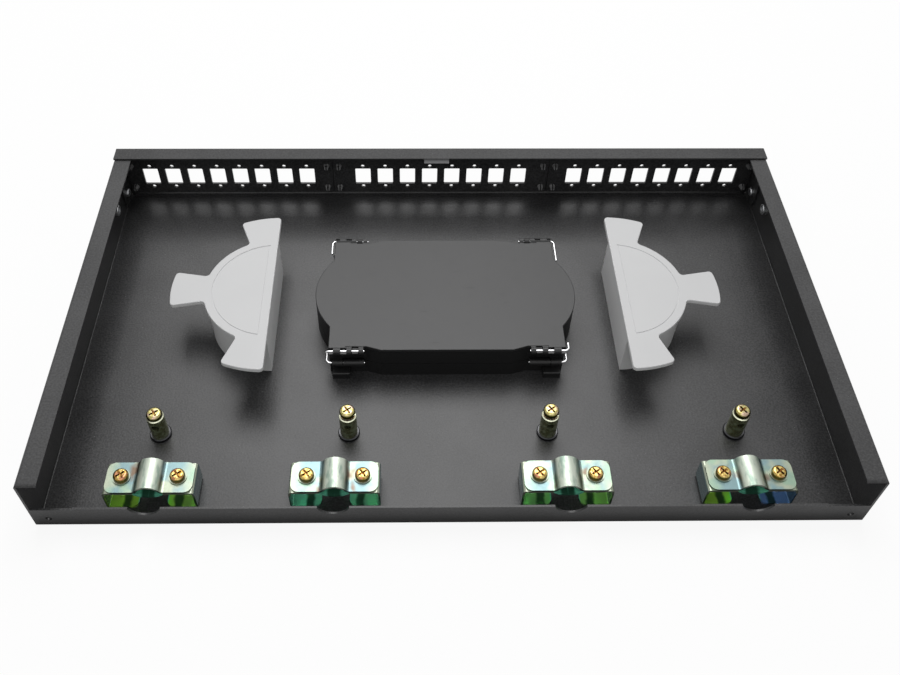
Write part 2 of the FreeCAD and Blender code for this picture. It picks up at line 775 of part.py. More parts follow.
def splice_lid():
    z0 = sheet_t + 2 * tray_pitch
    z1 = z0 + lid_t
    plate = slab(tray_outline(0, lid_lap), z0, z1)
    plate = plate.makeFillet(lid_rim_r, rim_at(plate, z1))
    axis_z = z0 - part_gap + axis_rise
    lid = fused([plate] + knuckle_row(lid_knuckle_x, axis_z, z0, axis_z + axis_rise, True))
    # Each long lug is open above on both sides of its middle: wide at the near side, a slot at the far side
    bore_r = wire_r + wire_gap
    near_y = (-tray_knuckle_dy - lid_lap, -axis_dy - knuckle_r - past)
    far_y = (axis_dy - bore_r, axis_dy + bore_r)
    windows = [block(side_x * x0, side_x * x1, y0, y1, axis_z, z1 + knuckle_r)
               for x0, x1 in lid_window_x for side_x in (-1, 1) for y0, y1 in (near_y, far_y)]
    lid = lid.cut(windows)
    lid.translate(Vector(0, tray_y, 0))
    return lid


def splice_holder(level):
    # Comb that grips the splice sleeves side by side, standing on the tray's floor
    z0 = sheet_t + level * tray_pitch + tray_floor_t
    half_d = holder_d / 2
    half_hw = holder_w / 2
    pieces = [block(-half_d, half_d, -half_hw, half_hw, z0, z0 + holder_base_t)]
    pitch = (holder_w - holder_rib_t) / (holder_ribs - 1)
    for i in range(holder_ribs):
        y = i * pitch - half_hw
        for side in (-1, 1):
            pieces.append(block(side * holder_gap_w / 2, side * half_d, y, y + holder_rib_t, z0,
                                z0 + holder_base_t + holder_rib_h))
    body = fused(pieces)
    body.translate(Vector(0, tray_y, 0))
    return body


def hinge_wire(side_x, side_y, level, leg, length):
    # Round wire bent to an L: the long arm lies in the knuckles, the short one outside the tray's end
    y = tray_y + side_y * axis_dy
    z = sheet_t + level * tray_pitch + tray_h + axis_rise
    along = Vector(side_x, 0, 0)
    start = Vector(side_x * wire_in_x, y, z)
    corner = Vector(side_x * wire_out_x, y, z)
    bend_start = corner - along * wire_bend_r
    bend_end = corner + leg * wire_bend_r
    cut_in = wire_bend_r * (1 - math.sin(math.pi / 4))
    bend_mid = corner - along * cut_in + leg * cut_in
    path = Part.Wire([Part.makeLine(start, bend_start), Part.Arc(bend_start, bend_mid, bend_end).toShape(),
                      Part.makeLine(bend_end, corner + leg * length)])
    return path.makePipeShell([Part.Wire([Part.makeCircle(wire_r, start, along)])], True, False)


def tray_screw(side):
    x = side * tray_screw_x
    seat = sheet_t + tray_floor_t
    return fused([pan_head(x, tray_y, seat, tray_screw_head_r, tray_screw_head_h),
                  rod_z(x, tray_y, 0, tray_screw_r, seat + sink)])


def post(x):
    # Turned pillar with a chamfered rim, a cross hole for the strength member and a spigot in the floor
    base_z = sheet_t + collar_h
    body = rod_z(x, post_y, base_z, post_r, post_top_z - base_z)
    body = body.makeChamfer(post_rim_c, outer_rim_at(body, post_top_z, post_r))
    body = fused([body, rod_z(x, post_y, 0, spigot_r, base_z + sink)])
    cross = rod_y(x, post_y - post_r - past, cross_hole_z, cross_hole_r, 2 * post_r + 2 * past)
    bore = rod_z(x, post_y, cross_hole_z, post_screw_r + thread_gap, post_top_z)
    return body.cut([cross, bore])


def post_collar(x):
    collar_r = post_r + collar_over
    collar = rod_z(x, post_y, sheet_t, collar_r, collar_h)
    collar = collar.makeChamfer(collar_c, outer_rim_at(collar, sheet_t + collar_h, collar_r))
    return collar.cut(rod_z(x, post_y, 0, spigot_r + spigot_gap, post_h))


def post_screw(x, raised):
    # Driven in as far as the photograph shows: two of the four stand well above their pillars
    seat = post_top_z + raised
    tip_z = post_screw_tip_z + raised
    return fused([pan_head(x, post_y, seat, post_head_r, post_head_h),
                  rod_z(x, post_y, tip_z, post_screw_r, seat - tip_z + sink)])


def clamp_bracket():
    # Strip bent like a table: troughed top, two legs and two feet turned in on the floor
    half_b = bracket_w / 2
    half_d = clamp_d / 2
    outer = block(-half_b, half_b, -half_d, half_d, sheet_t, bracket_top_z)
    outer = outer.makeFillet(bracket_bend_r, edges_along(outer, 1))
    inner = block(metal_t - half_b, half_b - metal_t, -half_d - past, half_d + past, sheet_t + metal_t,
                  bracket_top_z - metal_t)
    inner = inner.makeFillet(bracket_bend_r - metal_t, edges_along(inner, 1))
    gap = block(-foot_gap_w / 2, foot_gap_w / 2, -half_d - past, half_d + past, 0, sheet_t + 2 * metal_t)
    slot = block(-trough_w / 2, trough_w / 2, -half_d - past, half_d + past, bracket_top_z - 2 * metal_t,
                 bracket_top_z + past)
    body = outer.cut([inner, gap, slot])
    arc_r = arc_radius(trough_w, trough_depth)
    arc_z = bracket_top_z - trough_depth + arc_r
    trough = rod_y(0, -half_d, arc_z, arc_r + metal_t, clamp_d)
    trough = trough.cut(rod_y(0, -half_d - past, arc_z, arc_r, clamp_d + 2 * past))
    body = fused([body, trough.common(block(-half_b, half_b, -half_d, half_d, 0, bracket_top_z))])
    toes = [e for e in edges_along(body, 2) if same(abs(e.Vertexes[0].X), foot_gap_w / 2)]
    body = body.makeFillet(foot_corner_r, toes)
    tap_r = clamp_screw_r + thread_gap
    foot_hole_r = foot_rivet_r + screw_hole_gap
    holes = [rod_z(side * clamp_screw_dx, 0, bracket_top_z - metal_t - past, tap_r, metal_t + 2 * past)
             for side in (-1, 1)]
    holes += [rod_z(side * foot_rivet_dx, 0, sheet_t - past, foot_hole_r, metal_t + 2 * past)
              for side in (-1, 1)]
    return body.cut(holes)


def clamp_strap():
    # Strip bent over the cable: flat ears with rounded corners, a flare at each side and a round hump
    z0 = bracket_top_z
    z1 = z0 + metal_t
    half_s = strap_w / 2
    half_d = clamp_d / 2
    axis_z = z0 - hump_axis_drop
    hump_out_r = hump_in_r + metal_t
    flare_z = z1 + flare_r
    flare_x = math.sqrt((hump_out_r + flare_r) ** 2 - (flare_z - axis_z) ** 2)
    near_y = -half_d - past
    deep = clamp_d + 2 * past
    ears = block(-half_s, half_s, -half_d, half_d, z0, z1)
    ears = ears.makeFillet(strap_corner_r, edges_along(ears, 2))
    outline = ((-flare_x, z0 - past), (flare_x, z0 - past), (flare_x, flare_z), (0, axis_z),
               (-flare_x, flare_z))
    corners = [Vector(x, near_y, z) for x, z in outline]
    profile = Part.Face(Part.makePolygon(corners + [corners[0]]))
    below = profile.extrude(Vector(0, deep, 0))
    hump = rod_y(0, -half_d, axis_z, hump_out_r, clamp_d)
    sheet = [ears, hump.common(block(-half_s, half_s, -half_d, half_d, z0, z0 + 2 * hump_out_r)),
             below.common(block(-flare_x, flare_x, -half_d, half_d, z0, flare_z))]
    body = fused(sheet)
    for side in (-1, 1):
        body = body.cut(rod_y(side * flare_x, near_y, flare_z, flare_r, deep))
        below = below.cut(rod_y(side * flare_x, near_y, flare_z, flare_r + metal_t, deep))
    body = body.cut([below, rod_y(0, near_y, axis_z, hump_in_r, deep)])
    return body.cut([rod_z(side * clamp_screw_dx, 0, z0 - past, clamp_clear_r, metal_t + 2 * past)
                     for side in (-1, 1)])


def clamp_screw(side):
    x = side * clamp_screw_dx
    seat = bracket_top_z + metal_t + washer_t
    tip_z = bracket_top_z - metal_t - clamp_screw_grip
    return fused([pan_head(x, 0, seat, clamp_head_r, clamp_head_h),
                  rod_z(x, 0, tip_z, clamp_screw_r, seat - tip_z + sink)])


def clamp_washer(side):
    x = side * clamp_screw_dx
    z = bracket_top_z + metal_t
    return rod_z(x, 0, z, washer_r, washer_t).cut(rod_z(x, 0, z - past, clamp_clear_r, washer_t + 2 * past))


def foot_rivet(x, y):
    seat = sheet_t + metal_t
    top = seat + foot_rivet_head_h
    head = rod_z(x, y, seat, foot_rivet_head_r, foot_rivet_head_h)
    head = head.makeFillet(foot_rivet_round_r, outer_rim_at(head, top, foot_rivet_head_r))
    return fused([head, rod_z(x, y, 0, foot_rivet_r, seat + sink)])


def at_clamp(shape, x):
    placed = shape.copy()
    placed.translate(Vector(x, clamp_y, 0))
    return placed


def both_sides(name, shapes):
    # The right-hand pieces as drawn, and their mirror images on the left
    save(name + "_right", shapes)
    save(name + "_left", [mirrored(shape) for shape in shapes])


os.makedirs("parts", exist_ok=True)
save("tray_housing", [tray_housing()])
save("front_frame", [front_frame()])
for index, name in enumerate(("left", "middle", "right")):
    save("adapter_plate_" + name, [adapter_plate(index)])
    save("plate_rivets_" + name, [push_rivet(x, z) for x, z in rivet_places(index)])
both_sides("frame_screws", [frame_screw(z) for z in frame_screw_z])
both_sides("ear_inserts", [ear_insert(z) for z in ear_z])
both_sides("spool", [spool()])
both_sides("spool_screws", [spool_screw(x, y) for x, y in spool_screw_places(1)])

save("splice_tray_lower", [splice_tray(0)])
save("splice_tray_upper", [splice_tray(1)])
save("splice_tray_lid", [splice_lid()])
save("splice_holder_lower", [splice_holder(0)])
save("splice_holder_upper", [splice_holder(1)])
save("splice_tray_screws", [tray_screw(-1), tray_screw(1)])

toward = Vector(0, -1, 0)
away = Vector(0, 1, 0)
down = Vector(0, 0, -1)
save("wire_near_left_upper", [hinge_wire(-1, -1, 1, down, short_leg_l)])
save("wire_near_left_lower", [hinge_wire(-1, -1, 0, away, near_leg_l)])
save("wire_near_right_upper", [hinge_wire(1, -1, 1, away, near_upper_leg_l)])
save("wire_near_right_lower", [hinge_wire(1, -1, 0, away, near_leg_l)])
save("wire_far_left_upper", [hinge_wire(-1, 1, 1, toward, far_leg_l)])
save("wire_far_left_lower", [hinge_wire(-1, 1, 0, down, short_leg_l)])
save("wire_far_right_upper", [hinge_wire(1, 1, 1, toward, far_long_leg_l)])
save("wire_far_right_lower", [hinge_wire(1, 1, 0, down, short_leg_l)])

bracket = clamp_bracket()
strap = clamp_strap()
for number, x in enumerate(cable_x, 1):
    save("clamp_base_%d" % number, [at_clamp(bracket, x)])
    save("clamp_strap_%d" % number, [at_clamp(strap, x)])
    save("clamp_screws_%d" % number, [at_clamp(clamp_screw(side), x) for side in (-1, 1)])
    save("clamp_washers_%d" % number, [at_clamp(clamp_washer(side), x) for side in (-1, 1)])
save("clamp_rivets", [foot_rivet(x, y) for x, y in foot_rivet_places()])
for number, x in enumerate(post_x, 1):
    save("post_%d" % number, [post(x)])
    save("post_collar_%d" % number, [post_collar(x)])
    save("post_screw_%d" % number, [post_screw(x, post_screw_raise[number - 1])])
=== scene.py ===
import math

import bpy
from mathutils import Matrix, Vector

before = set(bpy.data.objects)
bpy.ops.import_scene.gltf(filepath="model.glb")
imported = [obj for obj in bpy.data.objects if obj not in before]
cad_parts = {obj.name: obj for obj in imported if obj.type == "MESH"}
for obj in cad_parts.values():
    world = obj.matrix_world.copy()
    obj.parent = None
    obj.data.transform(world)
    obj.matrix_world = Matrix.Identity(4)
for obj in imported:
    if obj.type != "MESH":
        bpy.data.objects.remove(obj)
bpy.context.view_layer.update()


# The view: one camera above the cable entry side, looking down into the open housing. Its place
# and turn were solved from the corners of the housing, and its frame is wider than it is high.
camera_place = (-0.022096, -0.368532, 0.455100)
camera_down = 0.85775
camera_turn = -0.018719
camera_roll = 0.011335
lens_mm = 37.533
sensor_mm = 36.0
frame_shift = (0.0325, -0.0375)
nearest_seen = 0.01

camera = bpy.data.objects.new("camera", bpy.data.cameras.new("camera"))
camera.data.lens = lens_mm
camera.data.sensor_width = sensor_mm
camera.data.shift_x, camera.data.shift_y = frame_shift
camera.data.clip_start = nearest_seen
camera.matrix_world = (Matrix.Translation(camera_place) @ Matrix.Rotation(camera_turn, 4, "Z")
                       @ Matrix.Rotation(math.pi / 2 - camera_down, 4, "X")
                       @ Matrix.Rotation(camera_roll, 4, "Z"))
bpy.context.scene.collection.objects.link(camera)
bpy.context.scene.camera = camera


# The housing: one folded sheet of 1.2 mm steel, floor, sides, side flanges and the low lip. It is
# powder coated black, with a fine orange peel and a few pale dust nibs. The flanges are dulled by
# handling, and painted shade darkens the face of the lip towards the table.
panel_w = 0.440
panel_d = 0.260
sheet_t = 0.0012
lip_h = 0.0175
near_edge = -panel_d / 2
housing_ior = 1.42
housing_peel = 0.00006
coat_colour = (0.016, 0.016, 0.0165, 1.0)
coat_pale = (0.044, 0.044, 0.045, 1.0)
lip_painted_shade = (0.004, 0.004, 0.004, 1.0)
coat_mottle = (0.35, 0.65)
coat_rough = (0.31, 0.43)
coat_detail = 3.0
peel_size = 0.0011
peel_share = 0.7
cloud_size = 0.035
nib_colour = (0.24, 0.24, 0.245, 1.0)
nib_size = 0.0030
nib_reach = 0.055
nib_rise = 0.5
handled_z = (0.035, 0.040)
handled_rough = 0.14
tone_step = 0.0002


class Paint:
    """One socket of a finish. Sums of such sockets and numbers add the nodes that work them out."""

    def __init__(self, tree, socket=None):
        self.tree = tree
        self.socket = socket

    def node(self, kind, settings, sockets, out=0):
        made = self.tree.nodes.new("ShaderNode" + kind)
        for name, value in settings.items():
            if name == "stops":
                stops = made.color_ramp.elements
                while len(stops) < len(value):
                    stops.new(1.0)
                for stop, (place, colour) in zip(stops, value):
                    stop.position = place
                    stop.color = colour
            else:
                setattr(made, name, value)
        self.feed(made, sockets)
        return Paint(self.tree, made.outputs[out])

    def feed(self, shader, sockets):
        for name, value in sockets.items():
            if isinstance(value, Paint):
                self.tree.links.new(value.socket, shader.inputs[name])
            else:
                shader.inputs[name].default_value = value

    def maths(self, operation, first, second, clamped=False):
        return self.node("Math", {"operation": operation, "use_clamp": clamped}, {0: first, 1: second})

    def __add__(self, other):
        return self.maths("ADD", self, other)

    def __sub__(self, other):
        return self.maths("SUBTRACT", self, other)

    def __rsub__(self, other):
        return self.maths("SUBTRACT", other, self)

    def __mul__(self, other):
        return self.maths("MULTIPLY", self, other)

    def __truediv__(self, other):
        return self.maths("DIVIDE", self, other)

    def __abs__(self):
        return self.maths("ABSOLUTE", self, 0.0)

    __radd__ = __add__
    __rmul__ = __mul__

    def between(self, low, high):
        """0 below low, 1 above high, and a smooth step in between; high may be the lower one."""
        return self.node("MapRange", {"interpolation_type": "SMOOTHSTEP"},
                         {"Value": self, "From Min": low, "From Max": high})

    def mix(self, colour_at_0, colour_at_1):
        return self.node("Mix", {"data_type": "RGBA"}, {0: self, 6: colour_at_0, 7: colour_at_1}, 2)

    def fade(self, at_0, at_1):
        """A number that goes straight from the one value to the other."""
        return at_0 + (at_1 - at_0) * self

    def axis(self, place, letter):
        return self.node("SeparateXYZ", {}, {0: place}, letter)

    def facing(self, letter):
        """How far the surface faces along that axis, from -1 to 1."""
        return self.axis(self.node("TexCoord", {}, {}, "Normal"), letter)

    def stretched(self, place, factors):
        return self.node("VectorMath", {"operation": "MULTIPLY"}, {0: place, 1: factors})

    def noise(self, place, size, detail=2.0):
        return self.node("TexNoise", {}, {"Vector": place, "Scale": 1 / size, "Detail": detail})

    def patches(self, place, size, edges, detail=2.0):
        """Soft patches of that size; the edges say how much they cover and how soft they end."""
        return self.noise(place, size, detail).between(*edges)

    def openness(self, reach, edges):
        """0 in a hollow that is narrower than the reach, and 1 in the open."""
        sky = self.node("AmbientOcclusion", {"samples": 8}, {"Distance": reach}, "AO")
        return sky.between(*edges)

    def bump(self, height, depth):
        """A rough skin of that depth in metres."""
        return self.node("Bump", {}, {"Height": height, "Strength": 1.0, "Distance": depth})


def new_finish(name, plain):
    """A finish with its constant values on the shader's own sockets."""
    finish = bpy.data.materials.new(name)
    finish.use_nodes = True
    shader = finish.node_tree.nodes["Principled BSDF"]
    for socket, value in plain.items():
        shader.inputs[socket].default_value = value
    paint = Paint(finish.node_tree)
    place = paint.node("TexCoord", {}, {}, "Object")
    return finish, shader, paint, place


def dress(finish, *nodes):
    for name in nodes:
        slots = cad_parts[name].data.materials
        slots.clear()
        slots.append(finish)


def powder_coat(name, ior, peel_depth, spot, spot_colour):
    """The black coat, with one spot on the piece in another colour; on the housing that spot is painted
    shade.
    """
    finish, shader, paint, place = new_finish(name, {"IOR": ior})
    clouds = paint.noise(place, cloud_size, coat_detail)
    peel = paint.noise(place, peel_size, coat_detail)
    cell = paint.node("TexVoronoi", {}, {"Vector": place, "Scale": 1 / nib_size})
    nibs = cell.between(nib_reach, nib_reach / 2)
    mottle = (peel_share * peel + (1 - peel_share) * clouds).between(*coat_mottle)
    colour = nibs.mix(mottle.mix(coat_colour, coat_pale), nib_colour)
    colour = spot(paint, place).mix(colour, spot_colour)
    handled = paint.axis(place, "Z").between(*handled_z)
    paint.feed(shader, {"Base Color": colour,
                        "Roughness": peel.fade(*coat_rough) + handled_rough * handled,
                        "Normal": paint.bump(peel + nib_rise * nibs, peel_depth)})
    return finish


# Painted shade: 0 at the top of the lip's outer face, 1 at the table.
def lip_shade_mask(paint, place):
    outer_face = paint.axis(place, "Y").between(near_edge + sheet_t, near_edge + tone_step)
    return outer_face * paint.axis(place, "Z").between(lip_h, 0.0)


dress(powder_coat("housing_coat", housing_ior, housing_peel, lip_shade_mask, lip_painted_shade), "tray_housing")


# The front frame, folded from the same sheet and screwed between the sides, and the three adapter
# plates, punched flat and riveted behind its windows. The coat is the same, but the small tongue
# that hangs from the top flange is paler towards its tip.
panel_h = 0.042
tongue_pale = (0.22, 0.22, 0.225, 1.0)
plate_ior = 1.35
plate_peel = 0.00003
tongue_mid = -0.0034
tongue_half = 0.0084
tongue_side = 0.0003
tongue_root_y = 0.1188
tongue_drop = 0.0022
above_ports = (0.030, 0.035)


# The tongue, coloured paler towards its lower edge.
def tip_of_tongue(paint, place):
    across, along, height = (paint.axis(place, letter) for letter in "XYZ")
    tongue = abs(across - tongue_mid).between(tongue_half + tongue_side, tongue_half)
    tongue = tongue * height.between(*above_ports) * along.between(tongue_root_y, tongue_root_y - tone_step)
    return tongue * height.between(panel_h, panel_h - tongue_drop)


dress(powder_coat("plate_coat", plate_ior, plate_peel, tip_of_tongue, tongue_pale),
      "front_frame", "adapter_plate_left", "adapter_plate_middle", "adapter_plate_right")


# Push rivets: moulded nylon with a round head outside and a split tail inside. They hold each
# adapter plate at its four corners.
rivet_colour = (0.22, 0.22, 0.222, 1.0)
rivet_ior = 1.53
rivet_grain = 0.0008
rivet_rough = (0.16, 0.32)
finish, shader, paint, place = new_finish("rivet_nylon", {"Base Color": rivet_colour, "IOR": rivet_ior})
paint.feed(shader, {"Roughness": paint.noise(place, rivet_grain).fade(*rivet_rough)})
dress(finish, "plate_rivets_left", "plate_rivets_middle", "plate_rivets_right")


# Small fasteners of steel, bright zinc plated: the inserts pressed into the side walls, the screws
# that hold the tabs of the frame, the rivets under the clamps, and the screws of the spools and
# of the lower tray.
zinc_colour = (0.62, 0.63, 0.64, 1.0)
zinc_dull = (0.42, 0.43, 0.44, 1.0)
zinc_grain = 0.0012
zinc_detail = 3.0
zinc_rough = (0.25, 0.45)
zinc_depth = 0.00001
finish, shader, paint, place = new_finish("bright_zinc", {"Metallic": 1.0})
dull = paint.noise(place, zinc_grain, zinc_detail)
paint.feed(shader, {"Base Color": dull.mix(zinc_colour, zinc_dull), "Roughness": dull.fade(*zinc_rough),
                    "Normal": paint.bump(dull, zinc_depth)})
dress(finish, "ear_inserts_left", "ear_inserts_right", "frame_screws_left", "frame_screws_right",
      "clamp_rivets", "spool_screws_left", "spool_screws_right", "splice_tray_screws")


# The winding spools: two hollow half-round mouldings in light grey plastic, screwed from below.
# The skin is satin from a spark-eroded mould, with a fine even grain. Painted light makes the vertical
# walls paler.
spool_colour = (0.53, 0.532, 0.535, 1.0)
spool_shade = (0.495, 0.497, 0.50, 1.0)
spool_wall_painted_light = (0.80, 0.802, 0.805, 1.0)
spool_ior = 1.46
spool_grain = 0.00028
spool_depth = 0.000008
spool_rough = (0.38, 0.50)
spool_flow = 0.03
spool_flow_detail = 3.0
wall_facing = (0.6, 0.2)
finish, shader, paint, place = new_finish("spool_plastic", {"IOR": spool_ior})
grain = paint.noise(place, spool_grain)
flow = paint.noise(place, spool_flow, spool_flow_detail)
# Painted light: faces turned to the sides get a paler colour.
upright_painted_light = paint.facing("Z").between(*wall_facing)
paint.feed(shader, {"Base Color": upright_painted_light.mix(flow.mix(spool_colour, spool_shade), spool_wall_painted_light),
                    "Roughness": grain.fade(*spool_rough), "Normal": paint.bump(grain, spool_depth)})
dress(finish, "spool_left", "spool_right")


# The splice trays: two shallow black mouldings, satin inside and out. The lower one is screwed to
# the floor, and the upper one hinges on it by bent wires.
tray_colour = (0.006, 0.006, 0.0062, 1.0)
tray_ior = 1.4
tray_grain = 0.0004
tray_depth = 0.000006
tray_rough = (0.42, 0.57)
finish, shader, paint, place = new_finish("tray_plastic", {"Base Color": tray_colour, "IOR": tray_ior})
grain = paint.noise(place, tray_grain)
paint.feed(shader, {"Roughness": grain.fade(*tray_rough), "Normal": paint.bump(grain, tray_depth)})
dress(finish, "splice_tray_lower", "splice_tray_upper")


# The lid of the trays: a flat black moulding that hinges on the upper wires. It is a little paler
# and glossier than the trays, and takes fine handling marks across the panel.
lid_colour = (0.014, 0.014, 0.0145, 1.0)
lid_pale = (0.022, 0.022, 0.0225, 1.0)
lid_ior = 1.40
lid_grain = 0.0005
lid_depth = 0.000005
lid_rough = (0.34, 0.44)
lid_flow = 0.045
mark_stretch = (0.12, 1.0, 1.0)
mark_patches = (0.0012, (0.62, 0.72), 4.0)
mark_rough = 0.12
finish, shader, paint, place = new_finish("lid_plastic", {"IOR": lid_ior})
grain = paint.noise(place, lid_grain)
flow = paint.noise(place, lid_flow)
marks = paint.patches(paint.stretched(place, mark_stretch), *mark_patches)
paint.feed(shader, {"Base Color": flow.mix(lid_colour, lid_pale),
                    "Roughness": grain.fade(*lid_rough) + mark_rough * marks,
                    "Normal": paint.bump(grain, lid_depth)})
dress(finish, "splice_tray_lid")


# The splice holders: combs of soft pale plastic that grip the splice sleeves. Each one stands on
# the floor of its tray, hidden by the tray or the lid above.
holder_colour = (0.68, 0.69, 0.67, 1.0)
holder_ior = 1.45
holder_grain = 0.001
holder_rough = (0.5, 0.65)
finish, shader, paint, place = new_finish("holder_rubber", {"Base Color": holder_colour, "IOR": holder_ior})
paint.feed(shader, {"Roughness": paint.noise(place, holder_grain).fade(*holder_rough)})
dress(finish, "splice_holder_lower", "splice_holder_upper")


# The hinge wires: drawn steel wire of 1.2 mm, bent to an L and slid into the knuckles. It is
# bright, with faint lines from the drawing die.
wire_colour = (0.75, 0.75, 0.76, 1.0)
wire_stretch = (0.1, 1.0, 1.0)
wire_lines = 0.0003
wire_rough = (0.18, 0.33)
finish, shader, paint, place = new_finish("hinge_wire", {"Base Color": wire_colour, "Metallic": 1.0})
lines = paint.noise(paint.stretched(place, wire_stretch), wire_lines)
paint.feed(shader, {"Roughness": lines.fade(*wire_rough)})
dress(finish, *["wire_%s_%s_%s" % (end, side, level) for end in ("near", "far")
                for side in ("left", "right") for level in ("upper", "lower")])


# The pillars: turned steel with an olive yellow passivation and a painted highlight on the rim. A hole runs
# across each one for the strength member of a cable, and painted shade darkens it inside.
pillar_colour = (0.19, 0.20, 0.095, 1.0)
pillar_pale = (0.36, 0.40, 0.25, 1.0)
pillar_rim_highlight = (0.80, 0.82, 0.62, 1.0)
pillar_metal = 0.85
pillar_patch = 0.0025
pillar_mottle = (0.4, 0.65)
pillar_rough = (0.20, 0.40)
turning_per_m = 3500.0
turning_detail = 1.0
turning_depth = 0.00003
rim_z = 0.0190
bore_painted_shade = (0.008, 0.009, 0.005, 1.0)
bore_reach = 0.004
bore_edges = (0.30, 0.65)
cable_count = 4


def at_each_cable(piece):
    """The names of a piece that is there once for each cable entry."""
    return ["%s_%d" % (piece, number + 1) for number in range(cable_count)]


finish, shader, paint, place = new_finish("pillar_zinc", {"Metallic": pillar_metal})
height = paint.axis(place, "Z")
turning = paint.node("TexNoise", {"noise_dimensions": "1D"},
                     {"W": height, "Scale": turning_per_m, "Detail": turning_detail})
patch = paint.noise(place, pillar_patch)
colour = patch.between(*pillar_mottle).mix(pillar_colour, pillar_pale)
# Painted shade inside the cross hole.
colour = paint.openness(bore_reach, bore_edges).mix(bore_painted_shade, colour)
# Painted highlight along the rim.
colour = height.between(rim_z, rim_z + tone_step).mix(colour, pillar_rim_highlight)
paint.feed(shader, {"Base Color": colour, "Roughness": patch.fade(*pillar_rough),
                    "Normal": paint.bump(turning, turning_depth)})
dress(finish, *at_each_cable("post"))


# The collars: dark turned rings that stand on the floor and carry the pillars. Each has a painted
# highlight on its upper edge.
collar_colour = (0.008, 0.008, 0.010, 1.0)
collar_edge_highlight = (0.06, 0.06, 0.064, 1.0)
collar_metal = 0.8
collar_grain = 0.002
collar_rough = (0.22, 0.42)
collar_edge_z = (0.0027, 0.0030)
finish, shader, paint, place = new_finish("collar_metal", {"Metallic": collar_metal})
# Painted highlight along the upper edge.
upper_edge_highlight = paint.axis(place, "Z").between(*collar_edge_z)
paint.feed(shader, {"Base Color": upper_edge_highlight.mix(collar_colour, collar_edge_highlight),
                    "Roughness": paint.noise(place, collar_grain).fade(*collar_rough)})
dress(finish, *at_each_cable("post_collar"))


# The pillar screws: cold-headed steel in a pale yellow zinc with a pink blush. Painted shade makes
# the side of the head darker and the cross recess brown. Each one pinches the strength member of a cable.
cream_colour = (0.30, 0.25, 0.08, 1.0)
cream_pale = (0.44, 0.40, 0.19, 1.0)
cream_pink = (0.42, 0.31, 0.23, 1.0)
gold_side_shade = (0.11, 0.095, 0.016, 1.0)
gold_recess_shade = (0.17, 0.065, 0.012, 1.0)
tone_size = 0.0016
tone_edges = (0.35, 0.62)
blush_patches = (0.0028, (0.52, 0.66), 1.0)
head_facing = (0.15, 0.85)
recess_reach = 0.0026
recess_edges = (0.45, 0.94)
screw_rough = (0.16, 0.31)
screw_depth = 0.00005


def gold_zinc(name, dark, pale, pink):
    finish, shader, paint, place = new_finish(name, {"Metallic": 1.0})
    tone = paint.noise(place, tone_size)
    blush = paint.patches(place, *blush_patches)
    colour = blush.mix(tone.between(*tone_edges).mix(dark, pale), pink)
    # Painted shade: the sides of each head are darker, and the cross recess is brown.
    colour = paint.facing("Z").between(*head_facing).mix(gold_side_shade, colour)
    colour = paint.openness(recess_reach, recess_edges).mix(gold_recess_shade, colour)
    paint.feed(shader, {"Base Color": colour, "Roughness": tone.fade(*screw_rough),
                        "Normal": paint.bump(tone, screw_depth)})
    return finish


dress(gold_zinc("cream_zinc", cream_colour, cream_pale, cream_pink), *at_each_cable("post_screw"))


# The clamp screws: two on each clamp, of the same steel as the pillar screws but plated a deeper
# gold. They hold the strap down on its bracket.
gold_colour = (0.24, 0.12, 0.020, 1.0)
gold_pale = (0.56, 0.44, 0.16, 1.0)
gold_pink = (0.36, 0.17, 0.09, 1.0)
dress(gold_zinc("gold_zinc", gold_colour, gold_pale, gold_pink), *at_each_cable("clamp_screws"))


# The straps of the cable clamps, bent from 1.2 mm strip, and their washers, punched from sheet. The
# thin rainbow zinc is pale at the ends, bluish round the screws and brown at the bends, and the
# hump that presses on the cable is worn to a dull white.
strap_pale = (0.275, 0.305, 0.235, 1.0)
zinc_blue_and_side_shade = (0.145, 0.215, 0.225, 1.0)
strap_green = (0.21, 0.29, 0.22, 1.0)
strap_brown = (0.13, 0.095, 0.07, 1.0)
strap_worn = (0.47, 0.52, 0.44, 1.0)
strap_scuff = (0.25, 0.33, 0.27, 1.0)
strap_rough = (0.24, 0.42)
strap_depth = 0.00002
washer_stain = 0.3
haze_patches = (0.012, (0.40, 0.60))
haze_reach = (0.0235, 0.0150)
green_patches = (0.010, (0.42, 0.60), 1.0)
brown_patches = (0.008, (0.50, 0.66), 1.0)
brown_reach = (0.0125, 0.0095)
smear_size = 0.0020
smear_detail = 3.0
scuff_stretch = (1.0, 0.3, 1.0)
scuff_patches = (0.0030, (0.45, 0.65), 3.0)
hump_z = (0.0178, 0.0205)
hump_metal_loss = 0.4
hump_rough = 0.10
pair_mid = 0.111
pair_half = 0.049


def from_clamp_middle(paint, place):
    """Distance from the middle of the nearest of the four clamps, across the panel."""
    return abs(abs(abs(paint.axis(place, "X")) - pair_mid) - pair_half)


def rainbow_zinc(name, stain):
    finish, shader, paint, place = new_finish(name, {})
    middle = from_clamp_middle(paint, place)
    haze = paint.patches(place, *haze_patches) * middle.between(*haze_reach) * stain
    green = paint.patches(place, *green_patches) * stain
    brown = paint.patches(place, *brown_patches) * middle.between(*brown_reach) * stain
    scuffs = paint.patches(paint.stretched(place, scuff_stretch), *scuff_patches)
    smear = paint.noise(place, smear_size, smear_detail)
    hump = paint.axis(place, "Z").between(*hump_z)
    colour = haze.mix(green.mix(strap_pale, strap_green), zinc_blue_and_side_shade)
    colour = hump.mix(brown.mix(colour, strap_brown), scuffs.mix(strap_worn, strap_scuff))
    paint.feed(shader, {"Base Color": colour, "Metallic": 1.0 - hump_metal_loss * hump,
                        "Roughness": smear.fade(*strap_rough) + hump_rough * hump,
                        "Normal": paint.bump(smear, strap_depth)})
    return finish


dress(rainbow_zinc("strap_zinc", 1.0), *at_each_cable("clamp_strap"))
dress(rainbow_zinc("washer_zinc", washer_stain), *at_each_cable("clamp_washers"))
